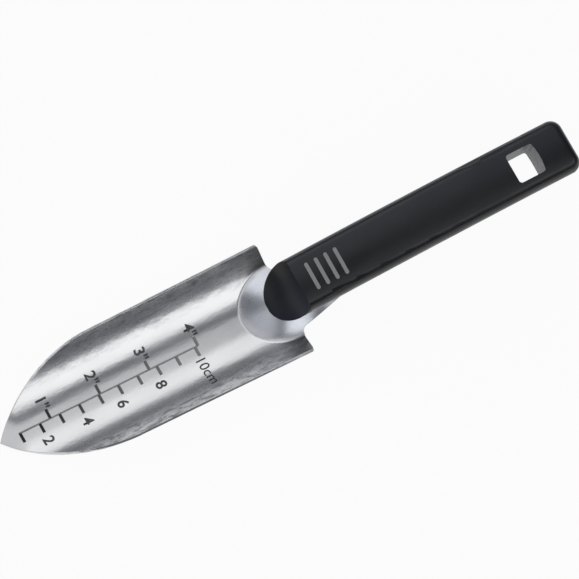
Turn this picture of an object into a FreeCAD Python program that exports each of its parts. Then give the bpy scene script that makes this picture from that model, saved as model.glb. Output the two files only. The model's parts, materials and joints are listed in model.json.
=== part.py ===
import FreeCAD, Part
import Sketcher
import math
import os

# A hand trowel: a one-piece pressed stainless blade with a stamped depth
# scale, whose raised neck and tang run into a moulded handle. The handle is
# a stiff grey core on the tang, a soft black skin over it, and a black cap
# that closes the front end. X runs from the tip to the hanging end and Z up
# from the blade's underside, with the origin halfway along.

doc = FreeCAD.newDocument("hand_trowel")
sheet = doc.addObject("Spreadsheet::Sheet", "Sizes")

sizes = [
    ("OverallLength", 289.6),
    ("BladeLength", 146.9),
    ("BladeHalfFront", 27.2),
    ("BladeHalfBack", 28.3),
    ("TipArcRadius", 74.0),
    ("ShoulderX", 145.3),
    ("ShoulderRadius", 1.6),
    ("BackEdgeRadius", 22.0),
    ("SheetThick", 1.5),
    ("TroughRadius", 33.5),
    ("TipFlatStart", 2.0),
    ("TipFlatEnd", 13.0),
    ("DomeStartX", 124.7),
    ("DomeTopX", 146.0),
    ("DomeHalf", 19.0),
    ("DomeHeight", 9.5),
    ("NeckSlope", 0.33),
    ("NeckHalfFront", 14.2),
    ("NeckHalfBack", 11.4),
    ("NeckFilletRadius", 3.2),
    ("NeckEndX", 168.0),
    ("TangHalf", 7.0),
    ("TangEndX", 236.0),
    ("TangHoleX", 192.0),
    ("TangHolePitch", 26.0),
    ("TangHoleRadius", 3.0),
    ("MarkDepth", 0.3),
    ("MarkWidth", 1.2),
    ("MarkLength", 4.3),
    ("ScaleLineWidth", 0.7),
    ("HandleWidth", 26.8),
    ("HandleCrown", 1300.0),
    ("BellyDepthFront", 14.8),
    ("BellyDepthBack", 13.6),
    ("BellyDropFront", 4.0),
    ("BellyDropBack", 3.5),
    ("NoseLowX", 136.9),
    ("NoseLowZ", 9.0),
    ("NoseCreaseX", 148.6),
    ("NoseCreaseZ", 30.4),
    ("EndTopZ", 52.5),
    ("EndCornerRadius", 5.6),
    ("TopEdgeRadius", 4.0),
    ("SkinThick", 1.6),
    ("BarFirstX", 155.6),
    ("BarPitch", 4.8),
    ("BarLength", 13.6),
    ("BarWidth", 1.7),
    ("BarProud", 0.3),
    ("HoleFrontX", 259.2),
    ("HoleBackX", 272.9),
    ("HoleHalf", 7.3),
    ("HoleBulgeRadius", 28.0),
    ("HoleCorner", 1.5),
    ("HoleTilt", 6.5),
    ("LinerWall", 1.4),
    ("LinerSink", 0.8),
]
for row, (alias, number) in enumerate(sizes, start=1):
    sheet.set("A%d" % row, alias)
    sheet.set("B%d" % row, repr(number))
    sheet.setAlias("B%d" % row, alias)
doc.recompute()


def size(name):
    return float(sheet.get(name))


def value(expression):
    return float(sheet.evalExpression(expression))


def bind(item, **expressions):
    for name, expression in expressions.items():
        item.setExpression(name.replace("_", "."), expression)
    return item


def along(expression):
    # a distance measured from the tip, as an X in the document
    return "(%s) - Sizes.OverallLength / 2" % expression


def origin_plane(body, role):
    return next(item for item in body.Origin.OriginFeatures if item.Role == role)


def outline(body, name, plane, corners, bends):
    # A closed outline whose corners are bound to the sheet. bends gives the
    # radius of each curved side; a minus sign bends it the other way.
    sketch = body.newObject("Sketcher::SketchObject", name)
    sketch.AttachmentSupport = (origin_plane(body, plane), [""])
    sketch.MapMode = "FlatFace"
    points = [FreeCAD.Vector(value(x), value(y), 0) for x, y in corners]
    ends = []
    for index, start in enumerate(points):
        stop = points[(index + 1) % len(points)]
        if index in bends:
            radius = value(bends[index])
            chord = stop - start
            sagitta = abs(radius) - math.sqrt(radius ** 2 - (chord.Length / 2) ** 2)
            side = FreeCAD.Vector(chord.y, -chord.x, 0).normalize() * math.copysign(sagitta, radius)
            curve = Part.Arc(start, (start + stop) / 2 + side, stop)
        else:
            curve = Part.LineSegment(start, stop)
        number = sketch.addGeometry(curve, False)
        first = 1 if sketch.getPoint(number, 1).distanceToPoint(start) < 1e-6 else 2
        ends.append((number, first, 3 - first))
    for index, (number, first, last) in enumerate(ends):
        after, start, _ = ends[(index + 1) % len(ends)]
        sketch.addConstraint(Sketcher.Constraint("Coincident", number, last, after, start))
    for index, (number, first, last) in enumerate(ends):
        for kind, expression in zip(("DistanceX", "DistanceY"), corners[index]):
            place = sketch.addConstraint(Sketcher.Constraint(kind, -1, 1, number, first,
                                                             value(expression)))
            label = "%s%d" % (kind, index)
            sketch.renameConstraint(place, label)
            sketch.setExpression("Constraints." + label, expression)
        if index in bends:
            place = sketch.addConstraint(Sketcher.Constraint("Radius", number,
                                                             abs(value(bends[index]))))
            sketch.renameConstraint(place, "Radius%d" % index)
            sketch.setExpression("Constraints.Radius%d" % index, "abs(%s)" % bends[index])
    return sketch


def padded(body, sketch, length):
    pad = body.newObject("PartDesign::Pad", sketch.Name + "Pad")
    pad.Profile = sketch
    pad.SideType = "Symmetric"
    pad.setExpression("Length", length)
    doc.recompute()
    return pad


def rounded(body, base, name, radius, wanted):
    # rounds every edge of the base that the test picks
    picked = ["Edge%d" % (number + 1) for number, edge in enumerate(base.Shape.Edges)
              if wanted(edge)]
    fillet = body.newObject("PartDesign::Fillet", name)
    fillet.Base = (base, picked)
    fillet.setExpression("Radius", radius)
    doc.recompute()
    return fillet


def boolean(kind, name, first, second):
    item = doc.addObject("Part::" + kind, name)
    item.Base, item.Tool = first, second
    return item


def fused(name, items):
    item = doc.addObject("Part::MultiFuse", name)
    item.Shapes = items
    return item


# ------------------------------------------------------------ pressed sheet

def smooth(t):
    t = min(1.0, max(0.0, t))
    return t * t * (3 - 2 * t)


def trough(x, y):
    # a round trough that runs out flat at the tip
    radius, start, end = size("TroughRadius"), size("TipFlatStart"), size("TipFlatEnd")
    return smooth((x - start) / (end - start)) * (radius - math.sqrt(radius ** 2 - y ** 2))


def neck_rise(x):
    # eases from level to the tang's slope over twice this reach
    reach = 8.0
    t = x - (size("DomeTopX") - 4)
    if t <= -reach:
        return 0.0
    if t >= reach:
        return size("NeckSlope") * t
    return size("NeckSlope") * (t + reach) ** 2 / (4 * reach)


def pressed_height(x, y):
    # scoop, with a dome raised at its back that flattens into the tang
    top = size("DomeTopX")
    back = max(0.0, (top - x) / (top - size("DomeStartX")))
    inside = max(0.0, 1 - back ** 2 - (y / size("DomeHalf")) ** 2)
    crest = size("DomeHeight") + neck_rise(x)
    flat = smooth((x - top) / (size("NeckEndX") + 4 - top))
    return (1 - flat) * (trough(x, y) + crest * inside ** 1.3) + flat * crest


def sheet_point(x, y, below):
    step = 0.05
    dx = (pressed_height(x + step, y) - pressed_height(x - step, y)) / (2 * step)
    dy = (pressed_height(x, y + step) - pressed_height(x, y - step)) / (2 * step)
    normal = FreeCAD.Vector(-dx, -dy, 1).normalize()
    lift = size("SheetThick")
    centre = FreeCAD.Vector(x - size("OverallLength") / 2, y, pressed_height(x, y) + lift)
    return centre - normal * below


def spread(low, high, count):
    return [low + (high - low) * step / (count - 1) for step in range(count)]


def sheet_face(below):
    dome, tang = size("DomeStartX") - 7, size("NeckEndX") + 8
    stations = spread(-4, 17, 12) + spread(20, dome - 2.5, 21) + spread(dome, tang, 25)
    stations += spread(tang + 5, size("TangEndX") + 5, 13)
    reach = size("BladeHalfBack") + 2.2
    surface = Part.BSplineSurface()
    surface.interpolate([[sheet_point(x, y, below) for y in spread(-reach, reach, 35)]
                         for x in stations])
    return surface.toShape()


upper, lower = sheet_face(0.0), sheet_face(size("SheetThick"))
sides = [Part.makeRuledSurface(high, low) for high, low in zip(upper.Edges, lower.Edges)]
shell = Part.makeShell([upper, lower] + sides)
shell.sewShape()
pressing = doc.addObject("Part::Feature", "pressing")
pressing.Shape = Part.makeSolid(shell)

under = doc.addObject("Part::Feature", "below_sheet")
under.Shape = upper.extrude(FreeCAD.Vector(0, 0, -70))

# ------------------------------------------------------------ blade outline

body = doc.addObject("PartDesign::Body", "blade_plan")
tangent = "sqrt(Sizes.TipArcRadius^2 - (Sizes.TipArcRadius - Sizes.BladeHalfFront)^2)"
turn = "Sizes.ShoulderRadius"
half_side = [
    (along("0"), "0"),
    (along(tangent), "Sizes.BladeHalfFront"),
    (along("Sizes.ShoulderX - " + turn), "Sizes.BladeHalfBack"),
    (along("Sizes.ShoulderX"), "Sizes.BladeHalfBack - " + turn),
    (along("Sizes.BladeLength"), "Sizes.NeckHalfFront + Sizes.NeckFilletRadius"),
    (along("Sizes.BladeLength + Sizes.NeckFilletRadius"), "Sizes.NeckHalfFront"),
    (along("Sizes.NeckEndX"), "Sizes.NeckHalfBack"),
    (along("Sizes.NeckEndX + 6"), "Sizes.TangHalf"),
    (along("Sizes.TangEndX - Sizes.TangHalf"), "Sizes.TangHalf"),
    (along("Sizes.TangEndX"), "0"),
]
mirrored = [(x, "-(%s)" % y) for x, y in reversed(half_side[1:-1])]
bends = {0: "-Sizes.TipArcRadius", 2: "-" + turn, 3: "-Sizes.BackEdgeRadius",
         4: "Sizes.NeckFilletRadius", 8: "-Sizes.TangHalf", 9: "-Sizes.TangHalf",
         13: "Sizes.NeckFilletRadius", 14: "-Sizes.BackEdgeRadius", 15: "-" + turn,
         17: "-Sizes.TipArcRadius"}
padded(body, outline(body, "BladePlan", "XY_Plane", half_side + mirrored, bends), "200")

trimmed = boolean("Common", "blade_blank", pressing, body)

# ------------------------------------------------- stamped scale, tang holes

cutters = []


def cut_box(name, length, width, height, x, y, z):
    box = doc.addObject("Part::Box", name)
    bind(box, Length=length, Width=width, Height=height,
         Placement_Base_x=x, Placement_Base_y=y, Placement_Base_z=z)
    cutters.append(box)
    return box


floor_z = "Sizes.SheetThick - Sizes.MarkDepth"
cut_box("scale_line", "92", "Sizes.ScaleLineWidth", "1", along("9.5"),
        "-Sizes.ScaleLineWidth / 2", floor_z)
# the trough has risen a little by the middle of a mark
lift = "Sizes.MarkLength^2 / (8 * Sizes.TroughRadius)"
for unit, step, count, near in (("cm", 10.0, 10, "-Sizes.MarkLength - Sizes.ScaleLineWidth / 4"),
                                ("inch", 25.4, 4, "Sizes.ScaleLineWidth / 4")):
    for number in range(1, count + 1):
        cut_box("%s_mark_%d" % (unit, number), "Sizes.MarkWidth", "Sizes.MarkLength", "1",
                along("%g - Sizes.MarkWidth / 2" % (step * number)), near,
                floor_z + " + " + lift)
for number in range(2):
    hole = doc.addObject("Part::Cylinder", "tang_hole_%d" % (number + 1))
    bind(hole, Radius="Sizes.TangHoleRadius", Height="80",
         Placement_Base_x=along("Sizes.TangHoleX + %d * Sizes.TangHolePitch" % number))
    cutters.append(hole)

blade = boolean("Cut", "blade", trimmed, fused("blade_cuts", cutters))

# ------------------------------------------------------------ handle outline


def top_at(x):
    # height of the crowned top over a distance from the tip
    share = "((%s) - Sizes.NoseCreaseX) / (Sizes.OverallLength - Sizes.NoseCreaseX)" % x
    sag = "((%s) - Sizes.NoseCreaseX) * (Sizes.OverallLength - (%s)) / (2 * Sizes.HandleCrown)"
    chord = "Sizes.NoseCreaseZ + (Sizes.EndTopZ - Sizes.NoseCreaseZ) * " + share
    return chord + " + " + sag % (x, x)


def belly_tube(name, inset):
    # an oval tube under the crowned top: its lower half is the belly
    rings = []
    span = "(Sizes.OverallLength - Sizes.NoseLowX)"
    for number, share in enumerate((-0.07, 0.28, 0.64, 1.04)):
        x = "(Sizes.NoseLowX + %g * %s)" % (share, span)
        drop = "(Sizes.BellyDropFront + (Sizes.BellyDropBack - Sizes.BellyDropFront) * %g)" % share
        deep = "(Sizes.BellyDepthFront + (Sizes.BellyDepthBack - Sizes.BellyDepthFront) * %g)" % share
        ring = doc.addObject("Part::Ellipse", "%s_ring_%d" % (name, number + 1))
        ring.Placement = FreeCAD.Placement(FreeCAD.Vector(),
                                           FreeCAD.Rotation(FreeCAD.Vector(0, -1, 0), 90))
        slope = ("(Sizes.EndTopZ - Sizes.NoseCreaseZ) / (Sizes.OverallLength - Sizes.NoseCreaseX)"
                 " + (Sizes.NoseCreaseX + Sizes.OverallLength - 2 * %s) / (2 * Sizes.HandleCrown)" % x)
        bind(ring, MajorRadius=deep + " - " + inset,
             MinorRadius="Sizes.HandleWidth / 2 - " + inset,
             Placement_Base_x=along(x), Placement_Base_z="%s - %s" % (top_at(x), drop))
        ring.setExpression("Placement.Rotation.Angle", "90 + 57.29578 * (%s)" % slope)
        rings.append(ring)
    tube = doc.addObject("Part::Loft", name)
    tube.Sections = rings
    tube.Solid = True
    return tube


def handle_form(name, inset):
    # The handle's outside, or the same a set distance further in: a crowned
    # side outline padded across, corners cut, top edges rounded, then the
    # part of it that lies inside the belly's oval tube.
    form = doc.addObject("PartDesign::Body", name + "_block")
    steep = "(Sizes.NoseCreaseX - Sizes.NoseLowX) / (Sizes.NoseCreaseZ - Sizes.NoseLowZ)"
    below = "6"
    profile = [
        (along("Sizes.NoseLowX - %s * %s" % (below, steep)), "Sizes.NoseLowZ - " + below),
        (along("Sizes.OverallLength - " + inset), "Sizes.NoseLowZ"),
        (along("Sizes.OverallLength - " + inset), "Sizes.EndTopZ - " + inset),
        (along("Sizes.NoseCreaseX"), "Sizes.NoseCreaseZ - " + inset),
    ]
    side = outline(form, name + "_side", "XZ_Plane", profile, {2: "Sizes.HandleCrown - " + inset})
    base = padded(form, side, "Sizes.HandleWidth - 2 * " + inset)
    half = "(Sizes.HandleWidth / 2 - %s)" % inset
    end = "(%s)" % along("Sizes.OverallLength - " + inset)
    corner = "(Sizes.EndCornerRadius - %s)" % inset
    for sign in ("", "-"):
        waste = [
            (end, "%s(%s - %s)" % (sign, half, corner)),
            (end + " + 2", "%s(%s - %s)" % (sign, half, corner)),
            (end + " + 2", "%s(%s + 2)" % (sign, half)),
            ("%s - %s" % (end, corner), "%s(%s + 2)" % (sign, half)),
            ("%s - %s" % (end, corner), "%s%s" % (sign, half)),
        ]
        bow = {4: corner if sign else "-" + corner}
        cut = outline(form, name + "_corner" + ("_low" if sign else ""), "XY_Plane", waste, bow)
        pocket = form.newObject("PartDesign::Pocket", cut.Name + "Cut")
        pocket.Profile = cut
        pocket.SideType = "Symmetric"
        pocket.Length = 300
        doc.recompute()
        base = pocket
    rounded(form, base, name + "_top", "Sizes.TopEdgeRadius - " + inset, on_top)
    return boolean("Common", name, form, belly_tube(name + "_belly", inset))


def on_top(edge):
    crease = value(along("Sizes.NoseCreaseX"))
    high = all(abs(vertex.Z - value(top_at(repr(vertex.X + size("OverallLength") / 2)))) < 2.5
               for vertex in edge.Vertexes)
    return high and edge.CenterOfMass.x > crease + 2


outside = handle_form("handle_outside", "0")
inside = handle_form("handle_inside", "Sizes.SkinThick")
proud = handle_form("handle_proud", "-Sizes.BarProud")
sunk = handle_form("handle_sunk", "Sizes.LinerSink")

# everything ahead of the top crease belongs to the front cap
front = doc.addObject("Part::Box", "front_space")
bind(front, Length="200", Width="200", Height="200",
     Placement_Base_x=along("Sizes.NoseCreaseX - 200"), Placement_Base_y="-100",
     Placement_Base_z="-100")

# the neck lies against the handle's underside until the tang dives into it
reach = doc.addObject("Part::Box", "neck_space")
bind(reach, Length="200", Width="200", Height="200",
     Placement_Base_x=along("Sizes.NeckEndX + 4 - 200"), Placement_Base_y="-100",
     Placement_Base_z="-100")
neck_seat = boolean("Common", "neck_seat", under, reach)

# ------------------------------------------------------------ hanging hole


def hole_form(name, grow):
    # a square hole whose far side bows out, square to the handle
    form = doc.addObject("PartDesign::Body", name)
    middle = "(Sizes.HoleFrontX + Sizes.HoleBackX) / 2"
    near = "-((Sizes.HoleBackX - Sizes.HoleFrontX) / 2 + %s)" % grow
    far = "((Sizes.HoleBackX - Sizes.HoleFrontX) / 2 + %s)" % grow
    half = "(Sizes.HoleHalf + %s)" % grow
    corner = "(Sizes.HoleCorner + %s)" % grow
    ring = [
        (near, "-(%s - %s)" % (half, corner)),
        (near + " + " + corner, "-" + half),
        (far + " - " + corner, "-" + half),
        (far, "-(%s - %s)" % (half, corner)),
        (far, "%s - %s" % (half, corner)),
        (far + " - " + corner, half),
        (near + " + " + corner, half),
        (near, "%s - %s" % (half, corner)),
    ]
    curves = {0: corner, 2: corner, 3: "Sizes.HoleBulgeRadius", 4: corner, 6: corner}
    padded(form, outline(form, name + "_ring", "XY_Plane", ring, curves), "80")
    tilt = FreeCAD.Rotation(FreeCAD.Vector(0, -1, 0), size("HoleTilt"))
    form.Placement = FreeCAD.Placement(FreeCAD.Vector(), tilt)
    form.setExpression("Placement.Rotation.Angle", "Sizes.HoleTilt")
    bind(form, Placement_Base_x=along(middle),
         Placement_Base_z=top_at(middle) + " - Sizes.BellyDepthBack / 2")
    return form


opening = hole_form("hanging_hole", "0")
liner = boolean("Common", "hole_liner", hole_form("liner_outside", "Sizes.LinerWall"), sunk)

# ------------------------------------------------------------ raised bars

bars = []
for number in range(4):
    centre = "Sizes.BarFirstX + %d * Sizes.BarPitch" % number
    straight = "(Sizes.BarLength - Sizes.BarWidth) / 2"
    block = doc.addObject("Part::Box", "bar_%d" % (number + 1))
    bind(block, Length="Sizes.BarWidth", Width="2 * " + straight, Height="60",
         Placement_Base_x=along(centre + " - Sizes.BarWidth / 2"),
         Placement_Base_y="-" + straight, Placement_Base_z="Sizes.NoseCreaseZ - 5")
    bars.append(block)
    for side, sign in (("left", ""), ("right", "-")):
        nib = doc.addObject("Part::Cylinder", "bar_%d_%s" % (number + 1, side))
        bind(nib, Radius="Sizes.BarWidth / 2", Height="60", Placement_Base_x=along(centre),
             Placement_Base_y=sign + straight, Placement_Base_z="Sizes.NoseCreaseZ - 5")
        bars.append(nib)
windows = fused("bar_windows", bars)
ribs = boolean("Common", "bar_ribs", windows, proud)

# ------------------------------------------------------------ handle pieces

cap = boolean("Cut", "nose_cap", boolean("Common", "cap_blank", outside, front), neck_seat)

core_blank = boolean("Cut", "core_blank", inside, front)
core_cuts = fused("core_cuts", [opening, neck_seat, blade])
core = boolean("Cut", "handle_core", fused("core_whole", [core_blank, liner, ribs]), core_cuts)

skin_cuts = fused("skin_cuts", [inside, front, liner, windows, neck_seat, blade, opening])
skin = boolean("Cut", "grip_skin", outside, skin_cuts)

# ------------------------------------------------------------ write the parts

doc.recompute()
for item in doc.Objects:
    if "Invalid" in item.State or "Error" in item.State:
        raise RuntimeError("broken feature: " + item.Label)
nodes = [blade, core, skin, cap]
for node in nodes:
    if node.Shape.isNull() or not node.Shape.isValid():
        raise RuntimeError("bad shape: " + node.Label)
os.makedirs("parts", exist_ok=True)
for node in nodes:
    node.Shape.exportStep("parts/%s.step" % node.Label)
    print(node.Label, len(node.Shape.Solids), round(node.Shape.Volume))
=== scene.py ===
import json
import math

import bpy
import numpy as np
from mathutils import Matrix, Vector

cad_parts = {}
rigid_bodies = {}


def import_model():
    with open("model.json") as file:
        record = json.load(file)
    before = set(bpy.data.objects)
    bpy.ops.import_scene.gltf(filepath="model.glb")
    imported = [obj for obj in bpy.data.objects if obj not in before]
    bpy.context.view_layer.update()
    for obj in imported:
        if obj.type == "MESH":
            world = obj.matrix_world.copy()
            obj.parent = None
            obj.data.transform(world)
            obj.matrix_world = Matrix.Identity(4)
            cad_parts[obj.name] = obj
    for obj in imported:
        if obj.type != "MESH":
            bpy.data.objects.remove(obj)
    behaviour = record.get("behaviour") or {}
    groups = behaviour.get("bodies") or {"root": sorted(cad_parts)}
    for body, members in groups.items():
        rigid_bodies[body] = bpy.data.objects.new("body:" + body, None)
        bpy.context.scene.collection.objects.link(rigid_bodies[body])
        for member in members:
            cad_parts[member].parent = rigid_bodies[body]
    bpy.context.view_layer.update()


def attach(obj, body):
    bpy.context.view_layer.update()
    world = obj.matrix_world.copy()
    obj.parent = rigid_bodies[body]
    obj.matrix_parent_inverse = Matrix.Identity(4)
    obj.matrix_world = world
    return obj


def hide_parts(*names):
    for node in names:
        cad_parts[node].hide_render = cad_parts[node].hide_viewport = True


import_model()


# Studio: a white paper floor under the trowel, broad soft boxes to each side of
# it, a dimmer one overhead and one low in front. The steel shows them as long
# pale bands with darker gaps between, which gives pressed sheet its shape.

def linear(code):
    """An sRGB hex colour as linear RGBA."""
    parts = [int(code[k:k + 2], 16) / 255 for k in (1, 3, 5)]
    return tuple(p / 12.92 if p <= 0.04045 else ((p + 0.055) / 1.055) ** 2.4 for p in parts) + (1,)


def material(name):
    """An empty node material and its tree."""
    made = bpy.data.materials.new(name)
    made.use_nodes = True
    made.node_tree.nodes.clear()
    return made, made.node_tree


def add(tree, kind, settings=None, **inputs):
    """One node, with its settings, and its inputs set to values or linked from sockets."""
    made = tree.nodes.new(kind)
    for key, setting in (settings or {}).items():
        setattr(made, key, setting)
    for key, given in inputs.items():
        socket = made.inputs[int(key[1:])] if key[1:].isdigit() else made.inputs[key.replace("_", " ")]
        if isinstance(given, bpy.types.NodeSocket):
            tree.links.new(given, socket)
        else:
            socket.default_value = given
    return made


scene = bpy.context.scene
scene.view_settings.view_transform = "Standard"

# The camera looks down steeply over the blade's near side, turned about its own
# line of sight so that the trowel lies from corner to corner.
middle = Vector((0.0078667, 0.0045778, 0.0015))
azimuth, elevation, roll = 209.95814, 70.00243, 32.28971
camera_distance = 1.452
lens = bpy.data.cameras.new("camera")
lens.lens = 196.6
lens.sensor_width = 36
lens.clip_end = 20
camera = bpy.data.objects.new("camera", lens)
scene.collection.objects.link(camera)
turn = (Matrix.Rotation(math.radians(azimuth + 90), 4, "Z")
        @ Matrix.Rotation(math.radians(90 - elevation), 4, "X")
        @ Matrix.Rotation(math.radians(roll), 4, "Z"))
toward = turn @ Vector((0, 0, camera_distance))
camera.matrix_world = Matrix.Translation(middle + toward) @ turn
scene.camera = camera

# Matt white paper. The camera and the steel see it lit evenly, so that the
# background stays white, and its own surface keeps the trowel's soft shadow.
even_light = 0.94
product, larger = {"operation": "MULTIPLY"}, {"operation": "MAXIMUM"}
white_room, tree = material("white_studio_paper")
paper = add(tree, "ShaderNodeBsdfDiffuse", Color=linear("#F4F4F4"))
glow = add(tree, "ShaderNodeEmission", Color=(1, 1, 1, 1), Strength=1.0)
rays = add(tree, "ShaderNodeLightPath")
direct = add(tree, "ShaderNodeMath", larger, _0=rays.outputs["Is Camera Ray"],
             _1=rays.outputs["Is Transmission Ray"])
direct = add(tree, "ShaderNodeMath", larger, _0=direct.outputs[0], _1=rays.outputs["Is Glossy Ray"])
share = add(tree, "ShaderNodeMath", product, _0=direct.outputs[0], _1=even_light)
surface = add(tree, "ShaderNodeMixShader", _0=share.outputs[0], _1=paper.outputs[0], _2=glow.outputs[0])
add(tree, "ShaderNodeOutputMaterial", Surface=surface.outputs[0])
floor_mesh = bpy.data.meshes.new("floor")
reach, floor_drop = 3.0, 0.0002
floor_mesh.from_pydata([(-reach, -reach, 0), (reach, -reach, 0), (reach, reach, 0),
                        (-reach, reach, 0)], [], [(0, 1, 2, 3)])
floor_mesh.materials.append(white_room)
floor = bpy.data.objects.new("floor", floor_mesh)
floor.location.z = -floor_drop
scene.collection.objects.link(floor)

# The room round the floor is a plain grey to the steel and white to the camera.
colours = {"data_type": "RGBA"}
world = bpy.data.worlds.new("studio_room")
world.use_nodes = True
tree = world.node_tree
tree.nodes.clear()
rays = add(tree, "ShaderNodeLightPath")
seen = add(tree, "ShaderNodeMix", colours, _0=rays.outputs["Is Camera Ray"], _6=linear("#6C6E73"),
           _7=(1, 1, 1, 1))
room = add(tree, "ShaderNodeBackground", Color=seen.outputs[2])
add(tree, "ShaderNodeOutputWorld", Surface=room.outputs[0])
scene.world = world


def soft_box(name, lean_y, lean_x, distance, long, wide, radiance):
    """A rectangular area light that faces the trowel, leant by degrees off the vertical across Y
    and then along X. Its power gives the same brightness whatever its size."""
    lamp = bpy.data.lights.new(name, "AREA")
    lamp.shape = "RECTANGLE"
    lamp.size, lamp.size_y = long, wide
    lamp.energy = radiance * math.pi * long * wide
    made = bpy.data.objects.new(name, lamp)
    out = Matrix.Rotation(math.radians(lean_x), 3, "Y") @ Matrix.Rotation(math.radians(lean_y), 3, "X")
    made.matrix_world = Matrix.Translation(out @ Vector((0, 0, distance))) @ out.to_4x4()
    scene.collection.objects.link(made)


soft_box("near_soft_box", 37, 14, 1.3, 1.5, 0.74, 1.12)
soft_box("far_soft_box", -45, -6, 1.3, 1.3, 0.8, 1.0)
soft_box("top_soft_box", -12, -6, 1.5, 1.3, 0.84, 0.6)
soft_box("front_soft_box", 6, -46, 1.4, 0.7, 0.9, 0.52)


# Blade: one pressing of 1.5 mm stainless sheet, polished and then lightly
# brushed along its length. The scoop, the dome at its back and the neck are
# one surface; the rim is the cut edge of the sheet, its corners just broken.

# Sizes in millimetres, x measured from the tip.
MM = 0.001
overall, sheet_thick, broken_edge = 289.6, 1.5, 0.22
tip_radius, half_front, half_back = 74.0, 27.2, 28.3
shoulder, shoulder_radius, back_middle, back_curve = 145.3, 1.6, 146.9, 1.25
neck_half_front, neck_half_back, neck_fillet, neck_end = 14.2, 11.4, 3.2, 168.0
scoop_radius, flat_tip, run_out = 33.5, 2.0, 13.0
dome_start, dome_top, dome_half, dome_height, dome_steep = 124.7, 146.0, 19.0, 9.5, 1.3
neck_slope, neck_blend, neck_lead, hidden_end = 0.33, 8.0, 4.0, 176.0
round_start, neck_start = shoulder - shoulder_radius, back_middle + neck_fillet


def ease(t):
    """Smooth step from 0 to 1."""
    t = np.clip(t, 0, 1)
    return t * t * (3 - 2 * t)


def pressed_height(x, y):
    """Height of the sheet's upper face: a round trough that runs out flat at the tip, plus a
    dome whose crest climbs into the neck along a ramp that starts as a parabola."""
    trough = scoop_radius - np.sqrt(scoop_radius ** 2 - y ** 2)
    trough = trough * ease((x - flat_tip) / (run_out - flat_tip))
    t = x - (dome_top - neck_lead)
    start = (t + neck_blend) ** 2 / (4 * neck_blend)
    ramp = np.where(t >= neck_blend, t, np.where(t <= -neck_blend, 0, start))
    crest = dome_height + neck_slope * ramp
    back = np.maximum(0, (dome_top - x) / (dome_top - dome_start))
    inside = np.maximum(0, 1 - back ** 2 - (y / dome_half) ** 2)
    flat = ease((x - dome_top) / (neck_end + neck_lead - dome_top))
    return (1 - flat) * (trough + crest * inside ** dome_steep) + flat * crest


def half_width(x):
    """Half the blade's plan width: an arc from the tip, a side that widens slightly, a rounded
    shoulder, the curved back edge, a fillet and the tapering neck."""
    centre = tip_radius - half_front
    tangent = math.sqrt(tip_radius ** 2 - centre ** 2)
    inner = half_back - shoulder_radius
    arc = np.sqrt(np.maximum(0, tip_radius ** 2 - (tangent - x) ** 2)) - centre
    side = half_front + (half_back - half_front) * (x - tangent) / (round_start - tangent)
    over = np.clip(x - round_start, 0, shoulder_radius)
    corner = inner + np.sqrt(np.maximum(0, shoulder_radius ** 2 - over ** 2))
    t = np.clip((x - shoulder) / (back_middle - shoulder), 0, 1)
    back_edge = inner + (neck_half_front + neck_fillet - inner) * t ** back_curve
    t = np.clip((x - back_middle) / neck_fillet, 0, 1)
    fillet = neck_half_front + neck_fillet * (1 - np.sqrt(np.maximum(0, 1 - (1 - t) ** 2)))
    taper = (neck_half_front - neck_half_back) / (neck_end - neck_start)
    neck = neck_half_front - taper * (x - neck_start)
    out = np.where(x < tangent, arc, side)
    for start, stretch in ((round_start, corner), (shoulder, back_edge), (back_middle, fillet),
                           (neck_start, neck)):
        out = np.where(x > start, stretch, out)
    return out


def ring_mesh(name, points):
    """A smooth mesh from rows of points, each row closed into a ring, as quads between rows."""
    rows, cols = points.shape[:2]
    index = np.arange(rows * cols).reshape(rows, cols)
    index = np.hstack([index, index[:, :1]])
    quads = np.stack([index[:-1, :-1], index[1:, :-1], index[1:, 1:], index[:-1, 1:]], -1)
    mesh = bpy.data.meshes.new(name)
    mesh.from_pydata(points.reshape(-1, 3), [], quads.reshape(-1, 4))
    mesh.shade_smooth()
    return mesh


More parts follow.
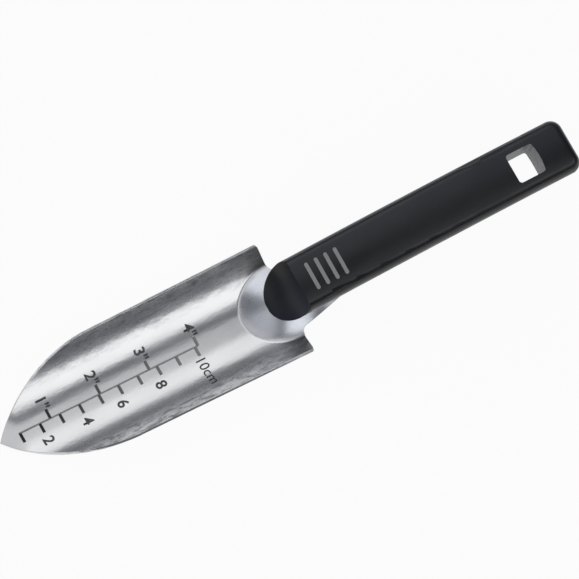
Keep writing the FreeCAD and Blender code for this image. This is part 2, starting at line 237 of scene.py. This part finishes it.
def sheet_rings(x, steps):
    """Rings round the sheet: across its upper face, over the cut edge with its corners just
    broken, and back underneath. The edge's outermost point is the plan's half width, and the
    points across are a little closer together toward the rims."""
    probe, even_share, corner_points = 0.05, 0.85, 5
    half = half_width(x)
    slope = (pressed_height(x, half + probe) - pressed_height(x, half - probe)) / (2 * probe)
    lean = slope / np.sqrt(1 + slope ** 2)
    broken = np.minimum(half, broken_edge)
    run = np.maximum(0, half - sheet_thick * lean - broken * np.sqrt(1 - lean ** 2))[:, None]
    across = np.linspace(-1, 1, steps)[None, :]
    y_top = (even_share * across + (1 - even_share) * np.sin(np.pi * across / 2)) * run
    xs = np.broadcast_to(x[:, None], y_top.shape)
    z = pressed_height(xs, y_top)
    dx = (pressed_height(xs + probe, y_top) - pressed_height(xs - probe, y_top)) / (2 * probe)
    dy = (pressed_height(xs, y_top + probe) - pressed_height(xs, y_top - probe)) / (2 * probe)
    normal = np.stack([-dx, -dy, np.ones_like(dx)], -1) / np.sqrt(1 + dx ** 2 + dy ** 2)[..., None]
    upper = np.stack([xs - overall / 2, y_top, z + sheet_thick], -1)
    lower = upper - normal * sheet_thick
    turn = np.radians(np.linspace(90, 0, corner_points))

    def cut_edge(column, sign):
        """The edge beside one column: a quarter round off each face, with the flat cut between."""
        out = np.stack([np.zeros(len(x)), sign * normal[:, column, 2],
                        -sign * normal[:, column, 1]], -1)
        over = [upper[:, column] + out * broken[:, None] * math.cos(a)
                - normal[:, column] * broken_edge * (1 - math.sin(a)) for a in turn[1:]]
        under = [lower[:, column] + out * broken[:, None] * math.cos(a)
                 + normal[:, column] * broken_edge * (1 - math.sin(a)) for a in turn[::-1][:-1]]
        return np.stack(over + under, 1)

    far_edge = cut_edge(-1, 1)
    near_edge = cut_edge(0, -1)[:, ::-1]
    return np.concatenate([upper, far_edge, lower[:, ::-1], near_edge], 1) * MM


# Where the rings stand: close together at the tip, over the dome and round the
# shoulders, where the sheet turns fastest, and on into the handle out of sight.
tip_blunt, tip_rows_end, dome_rows_start = 0.02, 60.0, 118.0
stations = np.concatenate([
    tip_blunt + tip_rows_end * np.linspace(0, 1, 90, endpoint=False) ** 1.5,
    np.linspace(tip_rows_end, dome_rows_start, 60, endpoint=False),
    np.linspace(dome_rows_start, round_start, 70, endpoint=False),
    shoulder - shoulder_radius * (1 - np.sin(np.linspace(0, math.pi / 2, 8, endpoint=False))),
    np.linspace(shoulder, neck_start, 36, endpoint=False),
    np.linspace(neck_start, hidden_end, 30),
])
points_across = 111
blade_mesh = ring_mesh("blade_sheet", sheet_rings(stations, points_across)[:, ::-1])
blade = bpy.data.objects.new("blade_sheet", blade_mesh)
scene.collection.objects.link(blade)
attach(blade, "root")
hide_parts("blade")

# The depth scale is cold-stamped 0.3 mm into the sheet: a line with a mark each
# centimetre on one side and each inch on the other. Its grooves are rougher than
# the polish, and the shade in them is painted dark into the base colour, darkest
# toward the tip and paler toward the back.
stamp_depth, soft_edge = 0.0003, 0.12
line_half, mark_half, mark_length = 0.3, 0.6, 4.3
line_start, line_end, centimetre, inch = 9.5, 101.6, 10.0, 25.4


def band(tree, along, low, high):
    """1 where a coordinate in mm lies between two values, fading over a soft edge."""
    rise = add(tree, "ShaderNodeMapRange", Value=along, _1=low - soft_edge, _2=low + soft_edge)
    fall = add(tree, "ShaderNodeMapRange", Value=along, _1=high - soft_edge, _2=high + soft_edge,
               _3=1.0, _4=0.0)
    return add(tree, "ShaderNodeMath", product, _0=rise.outputs[0], _1=fall.outputs[0]).outputs[0]


def marks(tree, x, y, pitch, count, low, high):
    """A row of marks: each within its half width of a multiple of the pitch."""
    off = add(tree, "ShaderNodeMath", {"operation": "PINGPONG"}, _0=x, _1=pitch / 2)
    near = add(tree, "ShaderNodeMapRange", Value=off.outputs[0], _1=mark_half - soft_edge,
               _2=mark_half + soft_edge, _3=1.0, _4=0.0)
    row = add(tree, "ShaderNodeMath", product, _0=near.outputs[0],
              _1=band(tree, x, pitch / 2, pitch * (count + 0.5)))
    return add(tree, "ShaderNodeMath", product, _0=row.outputs[0], _1=band(tree, y, low, high)).outputs[0]


steel, tree = material("stainless_pressed_polished_and_brushed")
place = add(tree, "ShaderNodeTexCoord").outputs["Object"]
in_mm = add(tree, "ShaderNodeVectorMath", {"operation": "MULTIPLY_ADD"}, _0=place,
            _1=(1 / MM, 1 / MM, 1 / MM), _2=(overall / 2, 0, 0)).outputs[0]
x, y, z = add(tree, "ShaderNodeSeparateXYZ", Vector=in_mm).outputs
line = add(tree, "ShaderNodeMath", product, _0=band(tree, x, line_start, line_end),
           _1=band(tree, y, -line_half, line_half)).outputs[0]
centimetres = marks(tree, x, y, centimetre, 10, -mark_length - line_half, 0)
inches = marks(tree, x, y, inch, 4, 0, mark_length + line_half)
bars = add(tree, "ShaderNodeMath", larger, _0=centimetres, _1=inches).outputs[0]
upper_face = band(tree, z, 0.8, 9.0)
struck = add(tree, "ShaderNodeMath", larger, _0=bars, _1=line)
stamped = add(tree, "ShaderNodeMath", product, _0=struck.outputs[0], _1=upper_face).outputs[0]
# Painted shade in the stamped grooves: full near the tip, fading to 0.55 toward the back; the line takes
# 0.55 throughout.
groove_shade_along = add(tree, "ShaderNodeMapRange", Value=x, _1=20.0, _2=100.0, _3=1.0, _4=0.55)
marks_painted_shade = add(tree, "ShaderNodeMath", product, _0=bars, _1=groove_shade_along.outputs[0])
line_painted_shade = add(tree, "ShaderNodeMath", product, _0=line, _1=0.55)
groove_painted_shade = add(tree, "ShaderNodeMath", larger, _0=marks_painted_shade.outputs[0], _1=line_painted_shade.outputs[0])
stamped_painted_shade = add(tree, "ShaderNodeMath", product, _0=groove_painted_shade.outputs[0], _1=upper_face)

# Polishing leaves the sheet bright with fine lengthwise brushing, about 0.4 mm
# apart. Pressing and handling leave faint clouds 11 mm across and 28 mm long,
# smudges of 2 to 6 mm on the curled sides, and dull back corners that the wheel
# doesn't reach. It rides lightly over the dome and neck, a cooler satin.
brush = add(tree, "ShaderNodeMapping", Vector=in_mm, Scale=(0.06, 2.4, 1.2)).outputs[0]
grain = add(tree, "ShaderNodeTexNoise", Vector=brush, Scale=1.0, Detail=4.0)
drawn = add(tree, "ShaderNodeMapping", Vector=in_mm, Scale=(0.4, 1.0, 1.0)).outputs[0]
cloud = add(tree, "ShaderNodeTexNoise", Vector=drawn, Scale=0.09, Detail=4.0, Roughness=0.6)
smudge = add(tree, "ShaderNodeTexNoise", Vector=drawn, Scale=0.42, Detail=6.0, Roughness=0.7)
smudged = add(tree, "ShaderNodeMapRange", Value=smudge.outputs["Fac"], _1=0.46, _2=0.66)
aside = add(tree, "ShaderNodeMath", {"operation": "ABSOLUTE"}, _0=y)
curl = add(tree, "ShaderNodeMapRange", Value=aside.outputs[0], _1=14.0, _2=22.0).outputs[0]
dull = add(tree, "ShaderNodeMath", product, _0=smudged.outputs[0], _1=curl).outputs[0]
unreached = add(tree, "ShaderNodeMapRange", Value=x, _1=118.0, _2=140.0)
corner = add(tree, "ShaderNodeMath", product, _0=unreached.outputs[0], _1=curl).outputs[0]
dome_reach = dome_top - dome_start
from_dome = add(tree, "ShaderNodeVectorMath", {"operation": "MULTIPLY_ADD"}, _0=in_mm,
                _1=(1 / dome_reach, 1 / dome_half, 0), _2=(-dome_top / dome_reach, 0, 0))
rim_share = add(tree, "ShaderNodeVectorMath", {"operation": "LENGTH"}, _0=from_dome.outputs[0])
domed = add(tree, "ShaderNodeMapRange", Value=rim_share.outputs["Value"], _1=1.0, _2=0.8).outputs[0]
rough = add(tree, "ShaderNodeMapRange", Value=cloud.outputs["Fac"], _1=0.3, _2=0.7, _3=0.19, _4=0.27)
for mask, duller in ((stamped, 0.25), (dull, 0.14), (corner, 0.22), (domed, 0.06)):
    rough = add(tree, "ShaderNodeMath", {"operation": "MULTIPLY_ADD"}, _0=mask, _1=duller,
                _2=rough.outputs[0])
dent = add(tree, "ShaderNodeBump", {"invert": True}, Height=stamped, Distance=stamp_depth, Strength=0.8)
swell = add(tree, "ShaderNodeBump", Height=cloud.outputs["Fac"], Distance=0.0004, Strength=0.35,
            Normal=dent.outputs[0])
bump = add(tree, "ShaderNodeBump", Height=grain.outputs["Fac"], Distance=0.000008, Strength=0.6,
           Normal=swell.outputs[0])
worn = add(tree, "ShaderNodeMix", colours, _0=dull, _6=linear("#DDDDDE"), _7=linear("#95979B"))
satin = add(tree, "ShaderNodeMix", colours, _0=domed, _6=worn.outputs[2], _7=linear("#CDD0D7"))
# Painted shade: the grooves' mask darkens the base colour toward #3A3A3C.
tint = add(tree, "ShaderNodeMix", colours, _0=stamped_painted_shade.outputs[0], _6=satin.outputs[2],
           _7=linear("#3A3A3C"))
metal = add(tree, "ShaderNodeBsdfPrincipled", Base_Color=tint.outputs[2], Metallic=1.0,
            Roughness=rough.outputs[0], Normal=bump.outputs[0])
add(tree, "ShaderNodeOutputMaterial", Surface=metal.outputs[0])
blade_mesh.materials.append(steel)


# Numerals of the depth scale: inches on one side of the line and even
# centimetres on the other, stamped with it into the same sheet.

# Struck steel, matt, with fine pits about 1 mm across that leave it a
# little uneven. Its dark colour is painted shade of the stamped recess, laid on the sheet as a flat face.
numeral_painted_shade, tree = material("stainless_stamped_numeral")
place = add(tree, "ShaderNodeTexCoord").outputs["Object"]
pits = add(tree, "ShaderNodeTexNoise", Vector=place, Scale=900.0, Detail=3.0)
shade = add(tree, "ShaderNodeMix", colours, _0=pits.outputs["Fac"], _6=linear("#2E2E30"),
            _7=linear("#77777A"))
metal = add(tree, "ShaderNodeBsdfPrincipled", Base_Color=shade.outputs[2], Metallic=1.0, Roughness=0.5)
add(tree, "ShaderNodeOutputMaterial", Surface=metal.outputs[0])

# A capital is 0.7 of the font's size, and the struck face lies a hair above the
# sheet so that the two don't share a surface.
capital_share, laid_above = 0.7, 0.02


def numeral(name, words, x, y, height, bold):
    """Text as a mesh, laid on the scoop: its tops point along +X and it reads toward -Y."""
    curve = bpy.data.curves.new(name, "FONT")
    curve.body = words
    curve.size = height / capital_share
    curve.offset = bold
    curve.resolution_u = 4
    curve.align_x = "CENTER"
    curve.align_y = "CENTER"
    lettered = bpy.data.objects.new(name + "_curve", curve)
    scene.collection.objects.link(lettered)
    bpy.context.view_layer.update()
    mesh = bpy.data.meshes.new_from_object(lettered)
    bpy.data.objects.remove(lettered)
    flat = np.empty(len(mesh.vertices) * 3)
    mesh.vertices.foreach_get("co", flat)
    flat = flat.reshape(-1, 3)
    px, py = x + flat[:, 1], y - flat[:, 0]
    pz = pressed_height(px, py) + sheet_thick + laid_above
    mesh.vertices.foreach_set("co", (np.stack([px - overall / 2, py, pz], -1) * MM).ravel())
    mesh.materials.append(numeral_painted_shade)
    piece = bpy.data.objects.new(name, mesh)
    scene.collection.objects.link(piece)
    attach(piece, "root")


tall, heavy = 5.2, 0.16
inch_row, centimetre_row, inch_shift = 7.9, -8.8, 0.6
for count in range(1, 5):
    numeral("inch_numeral_%d" % count, '%d"' % count, inch * count - inch_shift, inch_row, tall, heavy)
for count, at in ((2, 19.6), (4, 39.4), (6, 57.4), (8, 77.2)):
    numeral("cm_numeral_%d" % count, "%d" % count, at, centimetre_row, tall, heavy)
numeral("cm_numeral_10", "10cm", 98.9, -12.6, 4.8, 0.05)


# Handle core: stiff grey polypropylene moulded round the tang. It shows as
# four raised bars through the skin and as the wall of the hanging hole.

def carried(node, finish):
    """Gives every object carried over from one node of the frame its finish."""
    for item in bpy.data.objects:
        if item.name == node or item.name.startswith(node + "."):
            item.data.materials.clear()
            item.data.materials.append(finish)


# Moulded polypropylene: an even mid grey with a satin shine, and a spark-eroded
# grain of about 0.3 mm from the mould that breaks up its highlights.
grey, tree = material("polypropylene_satin_moulded_grey")
place = add(tree, "ShaderNodeTexCoord").outputs["Object"]
spark = add(tree, "ShaderNodeTexNoise", Vector=place, Scale=3200.0, Detail=2.0)
bump = add(tree, "ShaderNodeBump", Height=spark.outputs["Fac"], Distance=0.00002, Strength=0.5)
shell = add(tree, "ShaderNodeBsdfPrincipled", Base_Color=linear("#9C9C9E"), Roughness=0.48,
            Normal=bump.outputs[0])
add(tree, "ShaderNodeOutputMaterial", Surface=shell.outputs[0])
carried("handle_core", grey)


# Grip skin: soft black thermoplastic rubber moulded over the core. It covers
# the handle, stops against the nose cap and leaves the bars and the hole bare.

# Rubber off a grained mould: a blue-black with a low shine in patches 20 mm
# across where it is handled, and a grain of about 0.4 mm. Its top is drawn very
# slightly crowned about a line 6 mm to one side, and its base colour is painted
# paler toward +Y: painted light on the side the lamps fall on.
crown_middle = 6.0
black, tree = material("thermoplastic_rubber_moulded_black")
place = add(tree, "ShaderNodeTexCoord").outputs["Object"]
across = add(tree, "ShaderNodeSeparateXYZ", Vector=place).outputs["Y"]
off = add(tree, "ShaderNodeMath", {"operation": "MULTIPLY_ADD"}, _0=across, _1=1 / MM,
          _2=-crown_middle).outputs[0]
crown = add(tree, "ShaderNodeMath", product, _0=off, _1=off)
crowned = add(tree, "ShaderNodeBump", {"invert": True}, Height=crown.outputs[0],
              Distance=0.0000098, Strength=1.0)
spark = add(tree, "ShaderNodeTexNoise", Vector=place, Scale=2600.0, Detail=2.0)
bump = add(tree, "ShaderNodeBump", Height=spark.outputs["Fac"], Distance=0.00003, Strength=0.4,
           Normal=crowned.outputs[0])
handled = add(tree, "ShaderNodeTexNoise", Vector=place, Scale=45.0, Detail=4.0)
sheen = add(tree, "ShaderNodeMapRange", Value=handled.outputs["Fac"], _1=0.3, _2=0.7, _3=0.28, _4=0.42)
# Painted light: the base colour turns paler from -4 mm to +9 mm across Y.
grip_painted_light = add(tree, "ShaderNodeMapRange", Value=across, _1=-0.004, _2=0.009)
painted_light_tone = add(tree, "ShaderNodeMix", colours, _0=grip_painted_light.outputs[0], _6=linear("#0A0D13"),
            _7=linear("#1F232A"))
shell = add(tree, "ShaderNodeBsdfPrincipled", Base_Color=painted_light_tone.outputs[2], Roughness=sheen.outputs[0],
            Normal=bump.outputs[0])
add(tree, "ShaderNodeOutputMaterial", Surface=shell.outputs[0])
carried("grip_skin", black)


# Nose cap: hard black polypropylene from a polished mould. It caps the front
# of the handle down onto the blade's neck.

# Polypropylene off a polished mould: near black with a soft shine. Its face is
# drawn swelling very slightly about a point 19 mm up, and its base colour is painted
# from near black to a paler slate toward -Y: painted light on its lower side.
cap_middle_height = 19.0
gloss, tree = material("polypropylene_polished_black")
place = add(tree, "ShaderNodeTexCoord").outputs["Object"]
across = add(tree, "ShaderNodeSeparateXYZ", Vector=place).outputs["Y"]
# Painted light: the base colour turns paler from +12 mm to -12 mm across Y.
cap_painted_light = add(tree, "ShaderNodeMapRange", Value=across, _1=0.012, _2=-0.012)
painted_light_tone = add(tree, "ShaderNodeMix", colours, _0=cap_painted_light.outputs[0], _6=linear("#030407"),
            _7=linear("#2B303B"))
from_middle = add(tree, "ShaderNodeVectorMath", {"operation": "MULTIPLY_ADD"}, _0=place,
                  _1=(0, 1 / MM, 1 / MM), _2=(0, 0, -cap_middle_height)).outputs[0]
crown = add(tree, "ShaderNodeVectorMath", {"operation": "DOT_PRODUCT"}, _0=from_middle,
            _1=from_middle)
crowned = add(tree, "ShaderNodeBump", {"invert": True}, Height=crown.outputs["Value"],
              Distance=0.0000105, Strength=1.0)
shell = add(tree, "ShaderNodeBsdfPrincipled", Base_Color=painted_light_tone.outputs[2], Roughness=0.3,
            Normal=crowned.outputs[0])
add(tree, "ShaderNodeOutputMaterial", Surface=shell.outputs[0])
carried("nose_cap", gloss)
